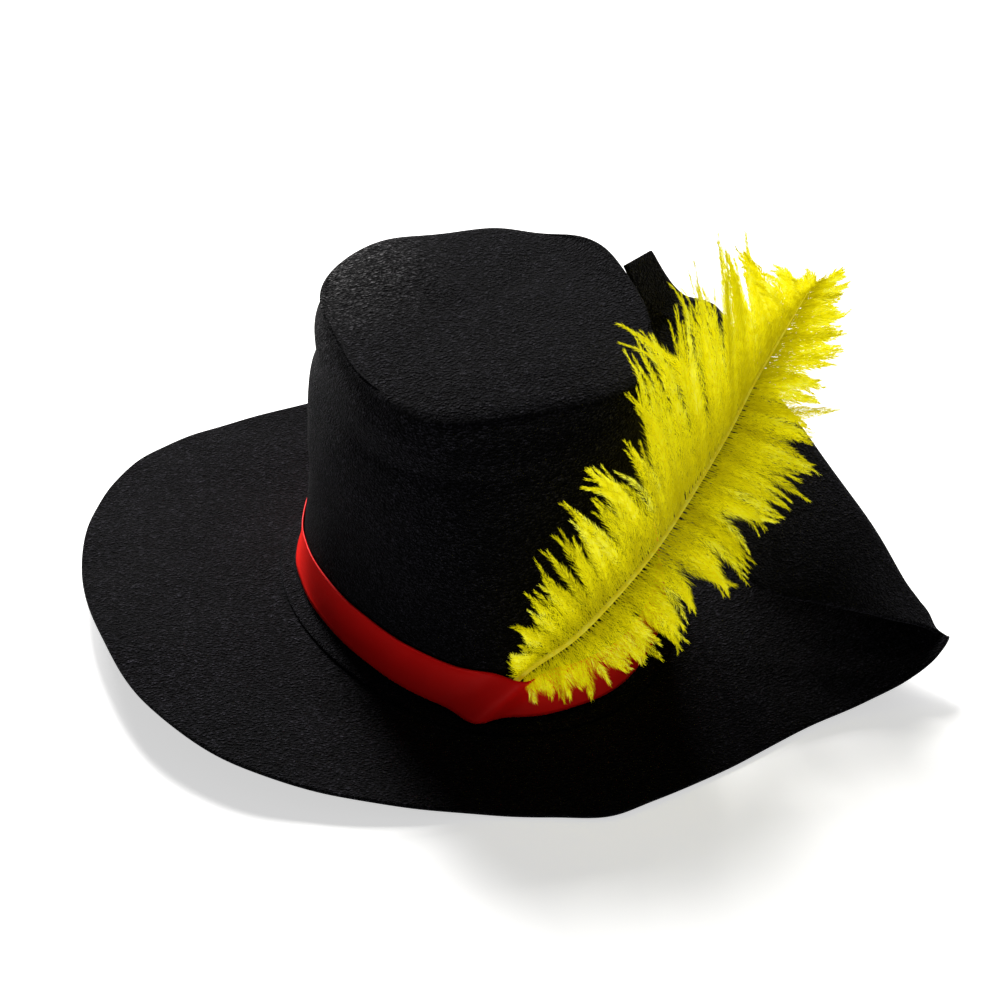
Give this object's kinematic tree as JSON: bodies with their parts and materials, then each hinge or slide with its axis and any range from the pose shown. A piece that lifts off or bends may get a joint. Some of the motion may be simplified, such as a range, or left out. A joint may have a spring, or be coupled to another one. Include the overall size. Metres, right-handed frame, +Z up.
{
  "type": "cavalier-style costume hat with turned-up side and ostrich plume",
  "caption": "Felt costume hat with a tall round-shouldered crown, a wide brim folded up on one side, a red satin ribbon and a yellow ostrich plume",
  "frame": {"origin": "middle of the hat's extent in X and Y, on the surface that it rests on", "axes": "+X is the wearer's left, where the brim is turned up; +Y is the back of the hat; +Z is up"},
  "size_m": [0.3804, 0.3818, 0.1792],
  "materials": {
    "black_felt": "matte black felt with short fibres",
    "red_satin": "red satin ribbon with a soft sheen",
    "yellow_plume": "lemon yellow dyed ostrich feather"
  },
  "bodies": {
    "root": {"crown": "black_felt", "brim": "black_felt", "hat_band": "red_satin", "plume": "yellow_plume"}
  },
  "joints": []
}
